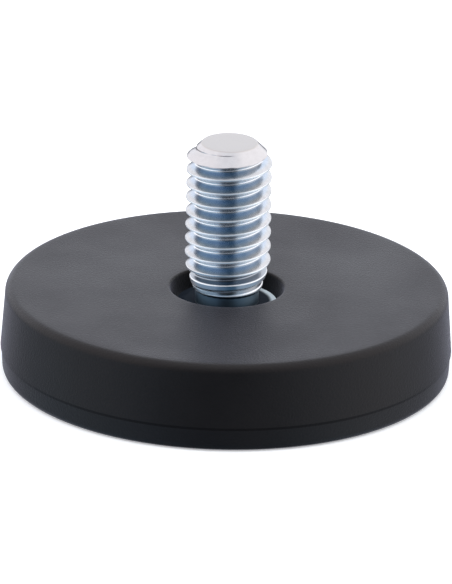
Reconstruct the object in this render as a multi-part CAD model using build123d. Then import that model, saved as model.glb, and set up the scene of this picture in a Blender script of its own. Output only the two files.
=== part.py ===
from build123d import *
import math
import os

# Rubber-coated pot magnet with a threaded stud.
#
# A steel yoke plate carries a ring of small disc magnets on its underside and a riveted
# stud on its axis. Rubber is moulded over the lot in one shot: it fills the spaces between
# the magnets and leaves only the stud's flange open, in a round recess.
# Origin: centre of the holding face. +Z runs up the stud. Millimetres.

# --- Rubber jacket ---------------------------------------------------------------------
jacket_diameter = 31.0        # widest, just above the mould line
upper_draft = 3.9             # degrees, the wall leans in above the mould line
lower_draft = 3.0             # degrees, and below it
mould_line_height = 1.75
mould_line_step = 0.06        # the lower mould half is this much smaller all round
top_edge_radius = 0.6
bottom_edge_radius = 0.5
holding_skin = 0.4            # rubber between the magnets and the holding face
rubber_over_plate = 1.66
rubber_beside_plate = 1.5     # at the widest place
recess_gap = 0.46             # open space round the stud's flange
recess_lip_radius = 0.3

# --- Magnets ---------------------------------------------------------------------------
magnet_count = 6
magnet_diameter = 8.0
magnet_thickness = 2.5
magnet_gap = 0.7              # rubber between neighbouring magnets
mould_pin_diameter = 1.6      # pins held each magnet up while the rubber was moulded

# --- Yoke plate ------------------------------------------------------------------------
plate_thickness = 1.6

# --- Stud ------------------------------------------------------------------------------
thread_diameter = 5.88        # M6 x 1, at the middle of its tolerance, over the crests
stud_projection = 10.55       # from the top of the rubber to the stud's end
end_face_diameter = 3.8
end_chamfer_angle = 45.0      # degrees
runout_height = 1.84          # from the top of the rubber to the lowest full crest
runout_angle = 17.0           # degrees, the crests fade along this cone
neck_diameter = 4.4
flange_diameter = 6.92
flange_thickness = 0.63
flange_edge_radius = 0.2
rivet_diameter = 4.0          # shank in the plate, and the plate's hole
rivet_head_diameter = 5.2     # closed head, flush in the plate's countersink
rivet_head_height = 0.5

rim_facets = 3                # a rounded rim is drawn as this many short cones

# --- Worked out from the sizes above ---------------------------------------------------
magnet_bottom = holding_skin
plate_bottom = magnet_bottom + magnet_thickness
plate_top = plate_bottom + plate_thickness
flange_top = plate_top + flange_thickness
jacket_height = plate_top + rubber_over_plate
stud_top = jacket_height + stud_projection

recess_diameter = flange_diameter + 2 * recess_gap
plate_diameter = jacket_diameter - 2 * rubber_beside_plate
magnet_circle_radius = (magnet_diameter + magnet_gap) / 2 / math.sin(math.pi / magnet_count)


def ring_places():
    """The magnets' centres, evenly round the plate, starting on the +X side."""
    return PolarLocations(magnet_circle_radius, magnet_count)


def disc(diameter, bottom, thickness):
    """A flat disc on the Z axis."""
    align = (Align.CENTER, Align.CENTER, Align.MIN)
    return Pos(0, 0, bottom) * Cylinder(diameter / 2, thickness, align=align)


def turned(*points):
    """A solid turned on the Z axis from (radius, height) points that start and end on it."""
    return revolve(Plane.XZ * make_face(Polyline(*points, close=True)), Axis.Z)


def rim(centre_radius, centre_height, radius, start):
    """Points of a quarter round about a centre, anticlockwise from a start angle in degrees."""
    angles = [math.radians(start + 90 * i / rim_facets) for i in range(rim_facets + 1)]
    return [
        (centre_radius + radius * math.cos(a), centre_height + radius * math.sin(a)) for a in angles
    ]


def magnet():
    """One disc magnet, on the axis."""
    return disc(magnet_diameter, magnet_bottom, magnet_thickness)


def plate_disc():
    """The yoke plate before its rivet hole."""
    return disc(plate_diameter, plate_bottom, plate_thickness)


def rivet_outline():
    """The stud's closed head and shank, which fill the hole in the plate."""
    shank = rivet_diameter / 2
    return [
        (0, plate_bottom),
        (rivet_head_diameter / 2, plate_bottom),
        (shank, plate_bottom + rivet_head_height),
        (shank, plate_top),
    ]


def yoke_plate():
    """Steel disc with a countersunk hole that the stud is riveted into."""
    return plate_disc() - turned(*rivet_outline(), (0, plate_top))


def jacket_blank():
    """The outside of the rubber: two drafted walls that meet with a small step."""
    upper_wall = jacket_height - top_edge_radius - mould_line_height
    lower_wall = mould_line_height - bottom_edge_radius
    jacket_radius = jacket_diameter / 2
    lower_radius = jacket_radius - mould_line_step
    top_radius = jacket_radius - upper_wall * math.tan(math.radians(upper_draft))
    bottom_radius = lower_radius - lower_wall * math.tan(math.radians(lower_draft))
    return turned(
        (0, 0),
        *rim(bottom_radius - bottom_edge_radius, bottom_edge_radius, bottom_edge_radius, 270),
        (lower_radius, mould_line_height),
        (jacket_radius, mould_line_height),
        *rim(top_radius - top_edge_radius, jacket_height - top_edge_radius, top_edge_radius, 0),
        (0, jacket_height),
    )


def recess():
    """The open pocket over the flange, with a rounded lip."""
    radius = recess_diameter / 2
    lip_centre = jacket_height - recess_lip_radius
    lip = rim(radius + recess_lip_radius, lip_centre, recess_lip_radius, 90)
    return turned((0, plate_top), (radius, plate_top), *reversed(lip), (0, jacket_height))


def rubber_jacket():
    """One moulding over the plate and magnets, open at the recess and the pin marks."""
    inserts = [recess(), plate_disc()]
    for place in ring_places():
        inserts += [place * magnet(), place * disc(mould_pin_diameter, 0, holding_skin)]
    return jacket_blank() - inserts


def stud():
    """Zinc-plated steel stud, turned in one piece: rivet, flange, neck and M6 shank."""
    flange_centre = flange_diameter / 2 - flange_edge_radius
    neck = neck_diameter / 2
    thread = thread_diameter / 2
    end = end_face_diameter / 2
    chamfer_height = (thread - end) / math.tan(math.radians(end_chamfer_angle))
    runout_top = jacket_height + runout_height
    runout_length = (thread - neck) / math.tan(math.radians(runout_angle))
    return turned(
        *rivet_outline(),
        *rim(flange_centre, plate_top + flange_edge_radius, flange_edge_radius, 270),
        *rim(flange_centre, flange_top - flange_edge_radius, flange_edge_radius, 0),
        (neck, flange_top),
        (neck, runout_top - runout_length),
        (thread, runout_top),
        (thread, stud_top - chamfer_height),
        (end, stud_top),
        (0, stud_top),
    )


os.makedirs("parts", exist_ok=True)
export_step(rubber_jacket(), "parts/rubber_jacket.step")
export_step(yoke_plate(), "parts/yoke_plate.step")
for number, place in enumerate(ring_places(), start=1):
    export_step(place * magnet(), f"parts/magnet_{number}.step")
export_step(stud(), "parts/stud.step")
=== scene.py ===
"""Rubber-coated pot magnet with a zinc-plated M6 stud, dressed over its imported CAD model.

The rubber jacket and the stud get finer meshes of the same size, the stud's with its rolled
helical thread. The yoke plate and the magnets keep their CAD meshes. Lengths are in millimetres
in the named sizes and in metres in the meshes.
"""

import math

import bmesh
import bpy
from mathutils import Matrix, Vector, noise


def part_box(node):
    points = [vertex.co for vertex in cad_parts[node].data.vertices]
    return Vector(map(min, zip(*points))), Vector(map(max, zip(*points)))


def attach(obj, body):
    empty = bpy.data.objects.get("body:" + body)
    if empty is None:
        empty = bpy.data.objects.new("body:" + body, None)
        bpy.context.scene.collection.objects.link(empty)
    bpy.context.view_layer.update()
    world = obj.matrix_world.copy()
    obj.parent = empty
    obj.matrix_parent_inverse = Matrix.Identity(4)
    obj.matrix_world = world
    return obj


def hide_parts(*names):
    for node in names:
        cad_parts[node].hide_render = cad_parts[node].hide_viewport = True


MM = 0.001

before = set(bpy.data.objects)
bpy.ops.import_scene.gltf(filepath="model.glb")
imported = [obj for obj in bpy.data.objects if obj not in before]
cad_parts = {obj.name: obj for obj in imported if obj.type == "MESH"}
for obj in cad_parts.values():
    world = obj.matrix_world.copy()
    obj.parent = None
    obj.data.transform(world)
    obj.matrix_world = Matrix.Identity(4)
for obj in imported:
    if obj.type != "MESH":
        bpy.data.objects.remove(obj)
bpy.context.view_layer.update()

# --- Sizes of the solids, read from the frame -------------------------------------------
jacket_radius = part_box("rubber_jacket")[1][0] / MM
jacket_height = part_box("rubber_jacket")[1][2] / MM
plate_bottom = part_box("yoke_plate")[0][2] / MM
plate_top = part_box("yoke_plate")[1][2] / MM
plate_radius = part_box("yoke_plate")[1][0] / MM
magnet_nodes = sorted(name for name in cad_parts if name.startswith("magnet_"))
magnet_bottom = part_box("magnet_1")[0][2] / MM
flange_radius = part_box("stud")[1][0] / MM
stud_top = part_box("stud")[1][2] / MM

# --- Rubber jacket ----------------------------------------------------------------------
upper_draft = 3.9           # degrees
lower_draft = 3.0           # degrees
mould_line_height = 1.75
mould_line_step = 0.06
top_edge_radius = 0.6
bottom_edge_radius = 0.5
recess_radius = 3.92
recess_lip_radius = 0.18
mould_pin_radius = 0.8
shade_strip_height = 0.20        # strip below the mould line in the less shiny rubber, a painted shadow under the step
top_waviness = 0.02         # how far the moulded top dips between its high places
wave_fade = 1.5             # the dips are full this far in from the top's edges
waves_per_mm = 0.16
wave_slice = 4.0            # height at which the noise is cut for the dips
jacket_segments = 288
top_rows = 30               # mesh rows across the flat top
top_edge_rows = 10
edge_rows = 8               # round any other edge of the rubber, and the flange's upper edge
pocket_segments = 64
pocket_overlap = 0.3        # how far the cutter of the pockets reaches past the rubber
jacket_sharp_angle = 30.0   # degrees; an edge that turns more is drawn sharp

# --- Stud -------------------------------------------------------------------------------
thread_radius = 2.94
thread_pitch = 1.0
root_rounding = 0.10        # radius of the round at the bottom of the groove
thread_angle = 60.0         # degrees between the flanks
crest_width = 0.11
crest_phase = 0.22          # in pitches: crests on the +X side lie this much over a whole one
crest_rounding = 0.04
crest_highlight_width = 0.03           # how far down the flanks the crests' edges carry a painted highlight
fade_rounding = 0.7         # crests get rounder by this share of what the runout takes off
highlight_fade_gain = 0.25            # and their painted highlights get wider by this share of it
lead_in_height = 0.45       # the groove's start, down from the end face
lead_in_depth = 0.13
end_radius = 1.9
end_chamfer_angle = 45.0    # degrees
end_edge_radius = 0.15      # between the end face and the chamfer
neck_radius = 2.2
neck_top = 6.05             # a 45 degree shoulder leads from here to the crests
root_fade_top = 7.0         # the roots rise below here, and the crests below the next one
runout_top = 8.0            # lowest full crest
runout_angle = 17.0         # degrees
flange_top = 5.13
flange_edge_radius = 0.12
rivet_radius = 2.0
rivet_head_radius = 2.6
rivet_head_height = 0.5
# The groove's round is tangent to both flanks.
groove_depth = (thread_pitch - crest_width) / 2 / math.tan(math.radians(thread_angle / 2))
thread_root_radius = thread_radius - groove_depth + root_rounding
# Centre of the edge's round: it is tangent to the end face and to the chamfer.
end_edge_centre = end_radius - end_edge_radius * math.tan(math.radians(end_chamfer_angle / 2))
stud_columns = 144          # round each turn
thread_rows = 32            # along each pitch
spare_turns = 1.1           # turns of the grid beyond those from the flange to the end face
fine_edge_rows = 6          # round the flange's lower edge and the end's edge
end_ring = 0.6              # share of the end face's radius where its mesh has a ring
stud_sharp_angle = 32.0     # degrees
weld_distance = 0.002       # corners nearer than this become one
helix_weld_distance = 0.001 # and the same where the wrapped grid meets itself

# --- Where the finishes, the painted highlights and the painted shade change ------------
noise_low = 0.3             # nearly all of a noise pattern lies between these
noise_high = 0.7
colour_blur = 0.3           # height over which one look of the plating turns into the next
# below this height the neck is painted dark as shade
neck_colour_top = 6.4
neck_gloss_blur = 0.4       # height over which the neck's roughness sets in
turned_end_bottom = 15.5
crest_highlight_depth = 0.03        # depth of the painted highlight on the crests
highlight_gain = 1.4          # a crest's edge is painted fully bright where its highlight mask is 1 / this
grey_flank_radius = 2.80    # the flanks are grey from here outwards
blue_flank_radius = 2.50    # and blue from here inwards
root_highlight_band = 0.14, 0.04    # out from the deepest place of the roots, where a painted highlight lies: starts, full
end_colour = 0.10, 0.03     # down from the end face: starts, full
flange_colour = 0.10, 0.01  # up from the flange: starts, full
rim_highlight_width = 0.60, 0.30      # in from the flange's rim: the painted shade thins, is gone, leaving a painted highlight
rim_highlight_side = 1.2, 2.8       # and the same along X, so that only the rim on the +X side is lit

# --- Camera and studio ------------------------------------------------------------------
camera_elevation = 21.0     # degrees
camera_roll = 1.09          # degrees
camera_distance = 1000.0
camera_lens = 896.6
sensor_height = 36.0
aim_across = -0.0615
aim_height = 3.0
aim_lift = 2.545            # further up, at right angles to the view
floor_half_width = 900.0
floor_drop = 0.02           # below the holding face, so that the two don't flicker
softbox_aim_height = 10.0


# --- Helpers: nodes and meshes ----------------------------------------------------------
class Field:
    """A number in a node tree. Its arithmetic adds Math nodes to the tree."""

    def __init__(self, tree, socket):
        self.tree = tree
        self.socket = socket

    def math(self, operation, *others):
        node = self.tree.nodes.new("ShaderNodeMath")
        node.operation = operation
        for place, value in enumerate((self, *others)):
            connect(self.tree, value, node.inputs[place])
        return Field(self.tree, node.outputs[0])

    def __add__(self, other):
        return self.math("ADD", other)

    def __sub__(self, other):
        return self.math("SUBTRACT", other)

    def __mul__(self, other):
        return self.math("MULTIPLY", other)

    def __truediv__(self, other):
        return self.math("DIVIDE", other)


def connect(tree, value, socket):
    """Links a Field or an output socket to an input, or sets the input to a plain value."""
    if isinstance(value, Field):
        value = value.socket
    if isinstance(value, bpy.types.NodeSocket):
        tree.links.new(value, socket)
    else:
        socket.default_value = value


def add_node(tree, kind, settings=None, **inputs):
    """A node with its settings and inputs filled in; input names use _ for a space."""
    node = tree.nodes.new(kind)
    for name, value in (settings or {}).items():
        setattr(node, name, value)
    for name, value in inputs.items():
        connect(tree, value, node.inputs[name.replace("_", " ")])
    return node


def arc(centre_radius, centre_height, radius, start, end, steps):
    """Profile points on an arc, from one angle in degrees to another."""
    angles = [math.radians(start + (end - start) * i / steps) for i in range(steps + 1)]
    return [
        (centre_radius + radius * math.cos(a), centre_height + radius * math.sin(a)) for a in angles
    ]


def run(start, end, steps):
    """Profile points on a straight line, without its last one."""
    return [
        (
            start[0] + (end[0] - start[0]) * i / steps,
            start[1] + (end[1] - start[1]) * i / steps,
        )
        for i in range(steps)
    ]


def turned_mesh(name, profile, segments, centre=(0, 0)):
    """A closed mesh turned about a vertical axis from (radius, height) points in millimetres.

    The profile starts and ends on the axis and runs anticlockwise, which points faces outward.
    """
    mesh = bmesh.new()
    rings = []
    for radius, height in profile:
        if radius < 1e-6:
            rings.append([mesh.verts.new((centre[0] * MM, centre[1] * MM, height * MM))])
            continue
        rings.append([])
        for i in range(segments):
            angle = 2 * math.pi * i / segments
            x = centre[0] + radius * math.cos(angle)
            y = centre[1] + radius * math.sin(angle)
            rings[-1].append(mesh.verts.new((x * MM, y * MM, height * MM)))
    for lower, upper in zip(rings, rings[1:]):
        for i in range(segments):
            j = (i + 1) % segments
            corners = [lower[i % len(lower)], lower[j % len(lower)]]
            corners += [upper[j % len(upper)], upper[i % len(upper)]]
            corners = list(dict.fromkeys(corners))
            if len(corners) > 2:
                mesh.faces.new(corners)
    data = bpy.data.meshes.new(name)
    mesh.to_mesh(data)
    mesh.free()
    return data


def new_object(name, data):
    """An object at the origin that holds a mesh, linked to the scene."""
    thing = bpy.data.objects.new(name, data)
    bpy.context.scene.collection.objects.link(thing)
    return thing


def shade(thing, sharp_angle):
    """Smooth shading, with edges left sharp above an angle in degrees."""
    thing.data.polygons.foreach_set("use_smooth", [True] * len(thing.data.polygons))
    thing.data.set_sharp_from_angle(angle=math.radians(sharp_angle))


def bake_modifiers(thing):
    """Replaces an object's mesh by its evaluated one and removes its modifiers."""
    bpy.context.view_layer.update()
    evaluated = thing.evaluated_get(bpy.context.evaluated_depsgraph_get())
    mesh = bpy.data.meshes.new_from_object(evaluated)
    thing.modifiers.clear()
    thing.data = mesh


# --- Camera -----------------------------------------------------------------------------
def add_camera():
    """A long lens in front of the magnet, a little above it."""
    elevation = math.radians(camera_elevation)
    up = Vector((0, math.sin(elevation), math.cos(elevation)))
    aim = Vector((aim_across, 0, aim_height)) * MM + up * aim_lift * MM
    toward_camera = Vector((0, -math.cos(elevation), math.sin(elevation)))
    data = bpy.data.cameras.new("camera")
    data.sensor_fit = "VERTICAL"
    data.sensor_height = sensor_height
    data.lens = camera_lens
    data.clip_end = 10 * camera_distance * MM
    camera = new_object("camera", data)
    camera.matrix_world = (
        Matrix.Translation(aim + toward_camera * (camera_distance * MM))
        @ Matrix.Rotation(math.pi / 2 - elevation, 4, "X")
        @ Matrix.Rotation(math.radians(camera_roll), 4, "Z")
    )
    bpy.context.scene.camera = camera


# --- Materials --------------------------------------------------------------------------
def new_material(name):
    """An empty node material: (material, tree, shader, object coordinates)."""
    material = bpy.data.materials.new(name)
    material.use_nodes = True
    tree = material.node_tree
    tree.nodes.clear()
    shader = tree.nodes.new("ShaderNodeBsdfPrincipled")
    output = tree.nodes.new("ShaderNodeOutputMaterial")
    tree.links.new(shader.outputs["BSDF"], output.inputs["Surface"])
    place = tree.nodes.new("ShaderNodeTexCoord").outputs["Object"]
    return material, tree, shader, place


def noise_pattern(tree, place, cells_per_mm, detail, roughness):
    """A noise pattern that follows the surface's place in the object."""
    return add_node(
        tree,
        "ShaderNodeTexNoise",
        Vector=place,
        Scale=cells_per_mm / MM,
        Detail=detail,
        Roughness=roughness,
    ).outputs[0]


def spread(tree, pattern, low=0.0, high=1.0):
    """A noise pattern's values, stretched over a range."""
    node = add_node(
        tree, "ShaderNodeMapRange", Value=pattern, From_Min=noise_low, From_Max=noise_high
    )
    node.inputs["To Min"].default_value = low
    node.inputs["To Max"].default_value = high
    return Field(tree, node.outputs[0])


def mix_colours(share, first, second):
    """Turns the first colour into the second as a Field goes from 0 to 1."""
    node = add_node(share.tree, "ShaderNodeMix", {"data_type": "RGBA"})
    for place, value in ((0, share), (6, first), (7, second)):
        connect(share.tree, value, node.inputs[place])
    return node.outputs[2]


def roughen(tree, shader, pattern, strength, depth):
    """Makes a surface look uneven; the depth is in millimetres."""
    bump = add_node(tree, "ShaderNodeBump", Height=pattern, Strength=strength, Distance=depth * MM)
    tree.links.new(bump.outputs[0], shader.inputs["Normal"])


def moulded_rubber(name, shine):
    """Black moulded rubber: a fine mould grain, faint flow marks and a bluish bloom."""
    material, tree, shader, place = new_material(name)
    grain = noise_pattern(tree, place, 6.5, 3.0, 0.65)
    flow = noise_pattern(tree, place, 0.13, 3.0, 0.5)
    deep, pale = (0.0026, 0.0025, 0.0028, 1), (0.0038, 0.0036, 0.0040, 1)
    connect(tree, mix_colours(spread(tree, flow), deep, pale), shader.inputs["Base Color"])
    connect(tree, spread(tree, flow, 0.38, 0.52), shader.inputs["Roughness"])
    roughen(tree, shader, grain, 0.6, 0.045)
    shader.inputs["Specular IOR Level"].default_value = shine
    shader.inputs["Specular Tint"].default_value = (1.0, 0.90, 0.87, 1)
    shader.inputs["Sheen Weight"].default_value = 0.29
    shader.inputs["Sheen Roughness"].default_value = 0.31
    shader.inputs["Sheen Tint"].default_value = (0.85, 0.85, 1.0, 1)
    return material


def step(value, start, end):
    """0 at the start and 1 at the end, both in millimetres, and smooth between."""
    node = add_node(
        value.tree,
        "ShaderNodeMapRange",
        {"interpolation_type": "SMOOTHSTEP"},
        Value=value,
        From_Min=start * MM,
        From_Max=end * MM,
    )
    return Field(value.tree, node.outputs[0])


def plating_shares(tree, place):
    """How much each look of the plating, painted highlights and shade among them, shows at a place,
    from 0 to 1.
    """
    axes = add_node(tree, "ShaderNodeSeparateXYZ", Vector=place)
    x, y, z = (Field(tree, axes.outputs[axis]) for axis in "XYZ")
    radius = (x * x + y * y).math("SQRT")
    edges = add_node(tree, "ShaderNodeAttribute", {"attribute_name": "painted_crest_edge"})
    edge_highlight = Field(tree, edges.outputs["Fac"]).math("MULTIPLY", highlight_gain).math("MINIMUM", 1.0)
    crests = step(radius, thread_radius - crest_highlight_depth, thread_radius)
    flange = step(z, *(flange_top + height for height in flange_colour))
    lit_rim = step(radius, *(flange_radius - width for width in rim_highlight_width)) * step(x, *rim_highlight_side)
    return {
        "inner flanks": step(radius, grey_flank_radius, blue_flank_radius),
        "roots": step(radius, *(thread_root_radius + height for height in root_highlight_band)),
        "runout": step(z, runout_top, runout_top - colour_blur),
        "faded roots": step(z, root_fade_top, root_fade_top - colour_blur),
        "neck": step(z, neck_colour_top, neck_colour_top - colour_blur),
        "rough neck": step(z, neck_colour_top, neck_colour_top - neck_gloss_blur),
        "painted crest highlight": edge_highlight.math("MAXIMUM", crests),
        "turned end": step(z, turned_end_bottom, turned_end_bottom + colour_blur),
        "end face": step(z, *(stud_top - depth for depth in end_colour)),
        "flange": flange,
        "painted_flange_shade": flange * (lit_rim * -1.0 + 1.0),
    }


def plating_colour(shares, clouds):
    """The stud's colour, made of layers that each lie over the ones before; some are painted
    highlight or shade.
    """
    blue = mix_colours(clouds, (0.42, 0.485, 0.565, 1), (0.50, 0.555, 0.635, 1))
    bright = mix_colours(clouds, (0.53, 0.505, 0.50, 1), (0.575, 0.55, 0.545, 1))
    painted_flange_shade = mix_colours(clouds, (0.011, 0.015, 0.022, 1), (0.020, 0.026, 0.034, 1))
    layers = {
        "inner flanks": blue,
        # painted highlight in the roots of the groove
        "roots": (0.77, 0.775, 0.785, 1),
        # painted shade: the runout, its faded roots and the neck are painted darker
        "runout": (0.34, 0.36, 0.39, 1),
        "faded roots": (0.33, 0.335, 0.35, 1),
        "neck": (0.075, 0.105, 0.130, 1),
        # painted highlight: the crests' edges are painted near white
        "painted crest highlight": (0.95, 0.95, 0.95, 1),
        "turned end": mix_colours(shares["end face"], bright, (0.505, 0.472, 0.449, 1)),
        "flange": (0.50, 0.56, 0.58, 1),
        # painted shade: the flange is painted near black in the recess, except its rim on the +X
        # side
        "painted_flange_shade": painted_flange_shade,
    }
    colour = mix_colours(clouds, (0.48, 0.475, 0.475, 1), (0.58, 0.575, 0.575, 1))
    for name, layer in layers.items():
        colour = mix_colours(shares[name], colour, layer)
    return colour


def bright_zinc():
    """Zinc plating with a clear blue passivation.

    The turned end is burnished bright, and the crests' edges and the roots carry a painted
    highlight. The plating is bluest deep between the flanks, and the runout and the neck are
    painted dark as shade. The flange is painted near black as the recess's shade, but near its
    rim on one side it keeps the plating, as a painted highlight.
    """
    material, tree, shader, place = new_material("bright_zinc")
    clouds = spread(tree, noise_pattern(tree, place, 2.6, 5.0, 0.65))
    shares = plating_shares(tree, place)
    connect(tree, plating_colour(shares, clouds), shader.inputs["Base Color"])
    connect(tree, shares["painted_flange_shade"] * -1.0 + 1.0, shader.inputs["Metallic"])
    rough = clouds * 0.05 + shares["painted_flange_shade"] * 0.30 + shares["rough neck"] * 0.20 + 0.20
    rough = rough + shares["painted crest highlight"] * (shares["turned end"] * -1.0 + 1.0) * 0.30
    connect(tree, rough, shader.inputs["Roughness"])
    roughen(tree, shader, noise_pattern(tree, place, 6.0, 2.0, 0.5), 0.15, 0.01)
    shader.inputs["Specular IOR Level"].default_value = 0.02
    return material


def plain_steel():
    """Dull zinc-plated sheet of the yoke plate, with a faint stamped grain."""
    material, tree, shader, place = new_material("plate_steel")
    grain = noise_pattern(tree, place, 2.5, 4.0, 0.6)
    dark, pale = (0.33, 0.34, 0.36, 1), (0.48, 0.49, 0.51, 1)
    connect(tree, mix_colours(spread(tree, grain), dark, pale), shader.inputs["Base Color"])
    roughen(tree, shader, grain, 0.3, 0.01)
    shader.inputs["Metallic"].default_value = 1.0
    shader.inputs["Roughness"].default_value = 0.38
    return material


def magnet_nickel():
    """Nickel plating of the magnets: warm white, slightly clouded."""
    material, tree, shader, place = new_material("magnet_nickel")
    clouds = noise_pattern(tree, place, 0.9, 3.0, 0.5)
    connect(tree, spread(tree, clouds, 0.14, 0.26), shader.inputs["Roughness"])
    shader.inputs["Base Color"].default_value = (0.72, 0.70, 0.66, 1)
    shader.inputs["Metallic"].default_value = 1.0
    return material


# --- Rubber jacket ----------------------------------------------------------------------
def jacket_profile():
    """Section of the rubber: outside, recess, and the cavity that holds the plate."""
    lower_radius = jacket_radius - mould_line_step
    lower_wall = mould_line_height - bottom_edge_radius
    upper_centre = jacket_height - top_edge_radius
    upper_wall = upper_centre - mould_line_height
    lower_lean = math.tan(math.radians(lower_draft))
    bottom_radius = lower_radius - lower_wall * lower_lean
    top_radius = jacket_radius - upper_wall * math.tan(math.radians(upper_draft))
    bottom_centre = bottom_radius - bottom_edge_radius
    top_centre = top_radius - top_edge_radius
    lip_centre = recess_radius + recess_lip_radius
    lip_centre_height = jacket_height - recess_lip_radius
    return [
        (0, 0),
        *arc(bottom_centre, bottom_edge_radius, bottom_edge_radius, 270, 360, edge_rows),
        (lower_radius - shade_strip_height * lower_lean, mould_line_height - shade_strip_height),
        (lower_radius, mould_line_height),
        (jacket_radius, mould_line_height),
        *arc(top_centre, upper_centre, top_edge_radius, 0, 90, top_edge_rows)[:-1],
        *run((top_centre, jacket_height), (lip_centre, jacket_height), top_rows),
        *arc(lip_centre, lip_centre_height, recess_lip_radius, 90, 180, edge_rows),
        (recess_radius, plate_top),
        (plate_radius, plate_top),
        (plate_radius, plate_bottom),
        (0, plate_bottom),
    ]


def magnet_cutter():
    """Six stepped plugs: each magnet's pocket with its mould pin's mark below it."""
    plugs = bmesh.new()
    for name in magnet_nodes:
        low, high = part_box(name)
        centre = ((low[0] + high[0]) / 2 / MM, (low[1] + high[1]) / 2 / MM)
        magnet_radius = (high[0] - low[0]) / 2 / MM
        outline = [
            (0, -pocket_overlap),
            (mould_pin_radius, -pocket_overlap),
            (mould_pin_radius, magnet_bottom),
            (magnet_radius, magnet_bottom),
            (magnet_radius, plate_bottom + pocket_overlap),
            (0, plate_bottom + pocket_overlap),
        ]
        plug = turned_mesh("plug", outline, pocket_segments, centre)
        plugs.from_mesh(plug)
        bpy.data.meshes.remove(plug)
    data = bpy.data.meshes.new("magnet_cutter")
    plugs.to_mesh(data)
    plugs.free()
    return new_object("magnet_cutter", data)


def wave_top(mesh):
    """Lets the flat top dip a little here and there, as a moulding's does when it cools."""
    outer = jacket_radius - 2 * top_edge_radius
    inner = recess_radius + 2 * recess_lip_radius
    for vertex in mesh.vertices:
        x, y, z = vertex.co / MM
        radius = math.hypot(x, y)
        if z < jacket_height - 1e-4 or not inner < radius < outer:
            continue
        fade = min((radius - inner) / wave_fade, (outer - radius) / wave_fade, 1.0)
        swell = 0.5 + 0.5 * noise.noise(Vector((x, y, wave_slice)) * waves_per_mm)
        vertex.co.z -= top_waviness * MM * fade * min(max(swell, 0.0), 1.0)


def join_slivers(mesh):
    """Merges the slivers that a Boolean leaves where two edges nearly meet."""
    work = bmesh.new()
    work.from_mesh(mesh)
    bmesh.ops.remove_doubles(work, verts=work.verts, dist=weld_distance * MM)
    bmesh.ops.dissolve_degenerate(work, edges=work.edges, dist=weld_distance * MM)
    work.to_mesh(mesh)
    work.free()


def in_painted_shade(face):
    """Whether a face gets the less shiny rubber as painted shade: in the recess or in the strip
    below the mould line.
    """
    radius = face.center.xy.length / MM
    height = face.center.z / MM
    in_recess = height > plate_top and radius < recess_radius + recess_lip_radius / 2
    in_strip = radius > plate_radius and 0 < mould_line_height - height < shade_strip_height
    return in_recess or in_strip


def make_jacket(material, shade_material):
    """The rubber in one moulding, with the pockets that the magnets and the plate fill."""
    jacket = new_object("jacket", turned_mesh("jacket", jacket_profile(), jacket_segments))
    wave_top(jacket.data)
    cutter = magnet_cutter()
    cut = jacket.modifiers.new("pockets", "BOOLEAN")
    cut.operation = "DIFFERENCE"
    cut.solver = "EXACT"
    cut.object = cutter
    bake_modifiers(jacket)
    bpy.data.objects.remove(cutter)
    join_slivers(jacket.data)
    shade(jacket, jacket_sharp_angle)
    jacket.data.materials.clear()
    jacket.data.materials.append(material)
    jacket.data.materials.append(shade_material)
    # the recess and the strip below the mould line get the less shiny rubber, painted shade
    for face in jacket.data.polygons:
        face.material_index = int(in_painted_shade(face))
    jacket.visible_glossy = False
    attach(jacket, "root")
    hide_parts("rubber_jacket")


# --- Stud -------------------------------------------------------------------------------
def socket_kind(value):
    """The kind of node socket that holds a value."""
    if isinstance(value, bpy.types.Material):
        return "NodeSocketMaterial"
    if isinstance(value, int):
        return "NodeSocketInt"
    return "NodeSocketFloat"


def groove(size, from_crest, flank, height):
    """Radius of the endless thread: crests, flanks and rounded roots."""
    # The round at the root is tangent to both flanks, at this distance from its middle.
    bend = size["Root Rounding"]
    tangent = bend * math.cos(math.radians(thread_angle / 2))
    from_root = (size["Pitch"] / 2.0 - from_crest).math("MINIMUM", tangent)
    root = bend - (bend * bend - from_root * from_root).math("SQRT") + size["Root Radius"]
    section = flank.math("SMOOTH_MIN", size["Thread Radius"], size["Crest Rounding"])
    # The roots rise at the neck as the crests fall there.
    foot = size["Root Radius"] + (size["Root Fade Top"] - height) * size["Runout Slope"]
    section = section.math("MAXIMUM", root).math("MAXIMUM", foot)
    # The groove's start is pressed a little way into the chamfer.
    start = (height - size["End Height"] + size["Lead In"]) / (size["Lead In"] / 2.0)
    return section - start.math("MAXIMUM", 0.0).math("MINIMUM", 1.0) * size["Lead In Depth"]


def runout_limit(size, height):
    """Radius that the crests stay within: the runout's cone, the shoulder and the neck."""
    runout = size["Thread Radius"] - (size["Runout Top"] - height) * size["Runout Slope"]
    shoulder = size["Neck Radius"] + (height - size["Neck Top"]).math("MAXIMUM", 0.0)
    return runout.math("MINIMUM", shoulder).math("MAXIMUM", size["Neck Radius"])


def crest_highlight_mask(size, flank, limit):
    """Mask of the crests' painted highlight: 1 along both edges of each crest, also where the
    runout cuts it off lower down.
    """
    width = size["Highlight Width"] + (size["Thread Radius"] - limit) * highlight_fade_gain
    edge_highlight = (flank - limit).math("ABSOLUTE") / width * -1.0 + 1.0
    above_neck = (limit - size["Neck Radius"]) / width
    return edge_highlight.math("MINIMUM", above_neck).math("MAXIMUM", 0.0)


def wrap_grid(tree, grid, turn, radius, height):
    """Moves a flat grid's corners to their places round the axis and closes its seam."""
    angle = turn * (2 * math.pi)
    wrapped = add_node(
        tree,
        "ShaderNodeCombineXYZ",
        X=radius * angle.math("COSINE"),
        Y=radius * angle.math("SINE"),
        Z=height,
    )
    shaped = add_node(tree, "GeometryNodeSetPosition", Geometry=grid, Position=wrapped.outputs[0])
    welded = add_node(
        tree,
        "GeometryNodeMergeByDistance",
        Geometry=shaped.outputs[0],
        Distance=helix_weld_distance * MM,
    )
    return welded.outputs[0]


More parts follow.
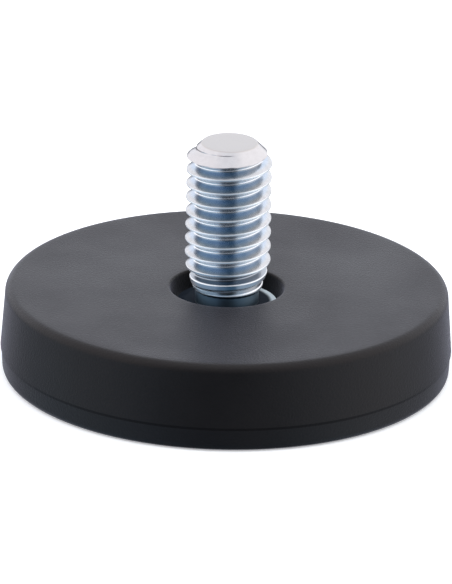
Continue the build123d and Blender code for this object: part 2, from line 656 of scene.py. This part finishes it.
def rolled_thread_tree(sizes):
    """Geometry nodes that wrap a grid into a helical thread, faded at the neck and the end.

    Every size gets an input of its own. The grid's rows follow the helix, so its lines run
    along the crests and the roots.
    """
    tree = bpy.data.node_groups.new("rolled_thread", "GeometryNodeTree")
    for name, value in sizes.items():
        tree.interface.new_socket(name, in_out="INPUT", socket_type=socket_kind(value))
    tree.interface.new_socket("Geometry", in_out="OUTPUT", socket_type="NodeSocketGeometry")
    given = tree.nodes.new("NodeGroupInput").outputs
    size = {name: Field(tree, given[name]) for name in sizes}

    rise = (size["Rows"] - 1.0) / size["Rows per Pitch"]
    grid = add_node(
        tree,
        "GeometryNodeMeshGrid",
        Size_X=1.0,
        Size_Y=rise,
        Vertices_X=size["Columns"] + 1.0,
        Vertices_Y=size["Rows"],
    )
    position = tree.nodes.new("GeometryNodeInputPosition").outputs[0]
    flat = add_node(tree, "ShaderNodeSeparateXYZ", Vector=position)
    turn = Field(tree, flat.outputs["X"]) + 0.5
    # Pitches above the crest that the helix starts from, the same all along a row.
    offset = Field(tree, flat.outputs["Y"]) + rise / 2.0 + size["Start"]
    # Rows past the flange or the end face are pressed flat onto it.
    height = (offset + size["Crest Phase"] + turn) * size["Pitch"]
    height = height.math("MAXIMUM", size["Foot Height"]).math("MINIMUM", size["End Height"])

    from_crest = ((offset + 0.5).math("FRACT") - 0.5).math("ABSOLUTE") * size["Pitch"]
    flank = size["Thread Radius"] - (from_crest - size["Crest Width"] / 2.0) / size["Flank Slope"]
    limit = runout_limit(size, height)
    rounding = size["Crest Rounding"] + (size["Thread Radius"] - limit) * fade_rounding
    end = size["End Radius"] + (size["End Height"] - height) * size["End Slope"]
    radius = groove(size, from_crest, flank, height)
    radius = radius.math("SMOOTH_MIN", limit, rounding).math("MINIMUM", end)

    # the mask of the crests' painted highlight, for the plating's colour
    marked = add_node(
        tree,
        "GeometryNodeStoreNamedAttribute",
        Geometry=grid.outputs["Mesh"],
        Name="painted_crest_edge",
        Value=crest_highlight_mask(size, flank, limit),
    )
    thread = wrap_grid(tree, marked.outputs[0], turn, radius, height)
    real = add_node(tree, "GeometryNodeRealizeInstances", Geometry=thread)
    plated = add_node(
        tree, "GeometryNodeSetMaterial", Geometry=real.outputs[0], Material=size["Material"]
    )
    output = tree.nodes.new("NodeGroupOutput")
    tree.links.new(plated.outputs[0], output.inputs["Geometry"])
    return tree


def rolled_thread(material):
    """The threaded shank as a plain mesh, open at the flange and at the end face."""
    # The grid starts a turn below the flange, on a whole row.
    start = math.floor((flange_top / thread_pitch - crest_phase) * thread_rows) / thread_rows - 1
    pitches = (stud_top - flange_top) / thread_pitch + spare_turns
    rows = math.ceil(pitches * thread_rows) + 1
    chamfer = math.radians(end_chamfer_angle)
    sizes = {
        "Columns": stud_columns,
        "Rows": rows,
        "Rows per Pitch": thread_rows,
        "Start": start,
        "Pitch": thread_pitch * MM,
        "Crest Phase": crest_phase,
        "Crest Width": crest_width * MM,
        "Crest Rounding": crest_rounding * MM,
        "Highlight Width": crest_highlight_width * MM,
        "Lead In": lead_in_height * MM,
        "Lead In Depth": lead_in_depth * MM,
        "Flank Slope": math.tan(math.radians(thread_angle / 2)),
        "Thread Radius": thread_radius * MM,
        "Root Radius": thread_root_radius * MM,
        "Neck Radius": neck_radius * MM,
        "Root Rounding": root_rounding * MM,
        "Foot Height": flange_top * MM,
        "Neck Top": neck_top * MM,
        "Root Fade Top": root_fade_top * MM,
        "Runout Top": runout_top * MM,
        "Runout Slope": math.tan(math.radians(runout_angle)),
        "End Radius": (end_edge_centre + end_edge_radius * math.sin(chamfer)) * MM,
        "End Height": (stud_top - end_edge_radius * (1 - math.cos(chamfer))) * MM,
        "End Slope": math.tan(math.radians(end_chamfer_angle)),
        "Material": material,
    }
    tree = rolled_thread_tree(sizes)
    thread = new_object("thread", bpy.data.meshes.new("thread"))
    nodes = thread.modifiers.new("rolled_thread", "NODES")
    nodes.node_group = tree
    for item in tree.interface.items_tree:
        if item.in_out == "INPUT":
            nodes[item.identifier] = sizes[item.name]
    bake_modifiers(thread)
    return thread


def stud_foot():
    """The flange and the rivet below it."""
    centre = flange_radius - flange_edge_radius
    lower = plate_top + flange_edge_radius
    upper = flange_top - flange_edge_radius
    return turned_mesh(
        "stud_foot",
        [
            (0, plate_bottom),
            (rivet_head_radius, plate_bottom),
            (rivet_radius, plate_bottom + rivet_head_height),
            (rivet_radius, plate_top),
            *arc(centre, lower, flange_edge_radius, 270, 360, fine_edge_rows),
            *arc(centre, upper, flange_edge_radius, 0, 90, edge_rows),
            (neck_radius, flange_top),
        ],
        stud_columns,
    )


def end_face():
    """The flat round end of the stud, with its rounded edge."""
    centre_height = stud_top - end_edge_radius
    start = 90 - end_chamfer_angle
    return turned_mesh(
        "end_face",
        [
            *arc(end_edge_centre, centre_height, end_edge_radius, start, 90, fine_edge_rows),
            (end_edge_centre * end_ring, stud_top),
            (0, stud_top),
        ],
        stud_columns,
    )


def make_stud(material):
    """The stud as one closed mesh: its foot, the threaded shank and the end face."""
    thread = rolled_thread(material)
    whole = bmesh.new()
    for mesh in (thread.data, stud_foot(), end_face()):
        whole.from_mesh(mesh)
    bmesh.ops.remove_doubles(whole, verts=whole.verts, dist=weld_distance * MM)
    bmesh.ops.recalc_face_normals(whole, faces=whole.faces)
    data = bpy.data.meshes.new("threaded_stud")
    whole.to_mesh(data)
    whole.free()
    bpy.data.objects.remove(thread)
    stud = new_object("threaded_stud", data)
    shade(stud, stud_sharp_angle)
    stud.data.materials.clear()
    stud.data.materials.append(material)
    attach(stud, "root")
    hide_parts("stud")


# --- Pieces kept from the frame ---------------------------------------------------------
def dress_node(name, material):
    """Gives a CAD node a better material and leaves its mesh as it is."""
    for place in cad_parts[name].material_slots:
        place.material = material
    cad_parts[name].visible_glossy = False


# --- Studio -----------------------------------------------------------------------------
def add_floor():
    """A plain pale floor, large enough to fill the view behind the magnet."""
    half = floor_half_width * MM
    level = -floor_drop * MM
    sides = ((-half, -half), (half, -half), (half, half), (-half, half))
    data = bpy.data.meshes.new("floor")
    data.from_pydata([(x, y, level) for x, y in sides], [], [(0, 1, 2, 3)])
    material, _, shader, _ = new_material("pale_floor")
    shader.inputs["Base Color"].default_value = (0.90, 0.90, 0.90, 1)
    shader.inputs["Emission Color"].default_value = (1, 1, 1, 1)
    shader.inputs["Emission Strength"].default_value = 0.3
    shader.inputs["Roughness"].default_value = 0.9
    shader.inputs["Specular IOR Level"].default_value = 0.1
    data.materials.append(material)
    floor = new_object("floor", data)
    floor.visible_glossy = False


def add_softbox(name, place, size, brightness):
    """A flat light that faces the magnet; brightness is what it looks like from there."""
    place = Vector(place) * MM
    width, height = (side * MM for side in size)
    data = bpy.data.lights.new(name, "AREA")
    data.shape = "RECTANGLE"
    data.size = width
    data.size_y = height
    data.energy = brightness * width * height * math.pi
    light = new_object(name, data)
    light.location = place
    away = place - Vector((0, 0, softbox_aim_height)) * MM
    light.rotation_euler = away.to_track_quat("Z", "Y").to_euler()
    light.visible_glossy = False


# Colours of the room, from -1 at the left of the magnet to 1 at its right.
dusk_colours = (
    (-1.0, (0.64, 0.80, 0.92)),
    (-0.84, (0.48, 0.68, 0.88)),
    (-0.42, (0.46, 0.64, 0.88)),
    (-0.34, (0.23, 0.40, 0.60)),
    (-0.04, (0.18, 0.33, 0.52)),
    (0.04, (0.07, 0.19, 0.33)),
    (0.34, (0.07, 0.19, 0.33)),
    (0.42, (0.62, 0.80, 0.98)),
    (0.75, (0.60, 0.78, 0.96)),
    (1.0, (1.15, 1.18, 1.22)),
)
sky_colours = (
    (-1.0, (1.48, 1.50, 1.60)),
    (-0.5, (1.37, 1.39, 1.48)),
    (-0.2, (1.24, 1.29, 1.40)),
    (0.2, (1.24, 1.29, 1.39)),
    (0.5, (1.48, 1.50, 1.58)),
    (1.0, (1.54, 1.56, 1.64)),
)
front_colours = (
    (-0.70, (1.20, 1.20, 1.24)),
    (-0.40, (0.34, 0.37, 0.43)),
    (0.35, (0.34, 0.37, 0.43)),
    (0.65, (1.20, 1.20, 1.24)),
)


def add_room():
    """The room: pale above the horizon, and below it a blue dusk.

    The dusk is darkest in front, dark straight below and grey behind. The floor hides it from
    the camera, so that only reflections show it.
    """
    world = bpy.data.worlds.new("room")
    bpy.context.scene.world = world
    world.use_nodes = True
    tree = world.node_tree
    tree.nodes.clear()
    direction = tree.nodes.new("ShaderNodeTexCoord").outputs["Generated"]
    split = add_node(tree, "ShaderNodeSeparateXYZ", Vector=direction)
    across = Field(tree, split.outputs["X"]) * 0.5 + 0.5

    def ramp(spots):
        """Colours by how far to the left or the right of the magnet a direction points."""
        node = tree.nodes.new("ShaderNodeValToRGB")
        for number, (x, colour) in enumerate(spots):
            elements = node.color_ramp.elements
            spot = elements[number] if number < 2 else elements.new(1.0)
            spot.position = 0.5 + x / 2
            spot.color = (*colour, 1)
        tree.links.new(across.socket, node.inputs[0])
        return node.outputs[0]

    def toward(axis, start, end, colour, beyond):
        """Changes a colour into another one between two places along an axis."""
        node = add_node(
            tree, "ShaderNodeMapRange", Value=split.outputs[axis], From_Min=start, From_Max=end
        )
        return mix_colours(Field(tree, node.outputs[0]), colour, beyond)

    dusk = toward("Y", -0.76, -0.90, ramp(dusk_colours), (0.02, 0.03, 0.04, 1))
    behind = toward("Z", -0.55, -0.45, (0.48, 0.50, 0.56, 1), (0.19, 0.20, 0.23, 1))
    dusk = toward("Y", 0.20, 0.60, dusk, behind)
    dusk = toward("Z", -0.80, -0.95, dusk, (0.10, 0.12, 0.14, 1))
    sky = toward("Y", -0.45, -0.75, ramp(sky_colours), ramp(front_colours))
    colour = toward("Z", -0.08, 0.02, dusk, sky)
    background = add_node(tree, "ShaderNodeBackground", Strength=1.0)
    tree.links.new(colour, background.inputs["Color"])
    output = tree.nodes.new("ShaderNodeOutputWorld")
    tree.links.new(background.outputs[0], output.inputs["Surface"])


def light_studio():
    """Softboxes at both sides and overhead, in a pale room."""
    bpy.context.scene.view_settings.view_transform = "Standard"
    add_room()
    add_softbox("left_panel", (-600, 100, 280), (1100, 580), 0.3)
    add_softbox("right_panel", (600, 100, 280), (1100, 580), 0.3)
    add_softbox("top_box", (0, -260, 500), (1000, 400), 0.6)


# --- Build ------------------------------------------------------------------------------
add_camera()
rubber = moulded_rubber("moulded_rubber", shine=0.27)
# a less shiny copy of the rubber: painted shade in the recess and under the mould line
shaded_rubber = moulded_rubber("painted_shade_rubber", shine=0.13)
make_jacket(rubber, shaded_rubber)
make_stud(bright_zinc())
dress_node("yoke_plate", plain_steel())
nickel = magnet_nickel()
for magnet in magnet_nodes:
    dress_node(magnet, nickel)
add_floor()
light_studio()
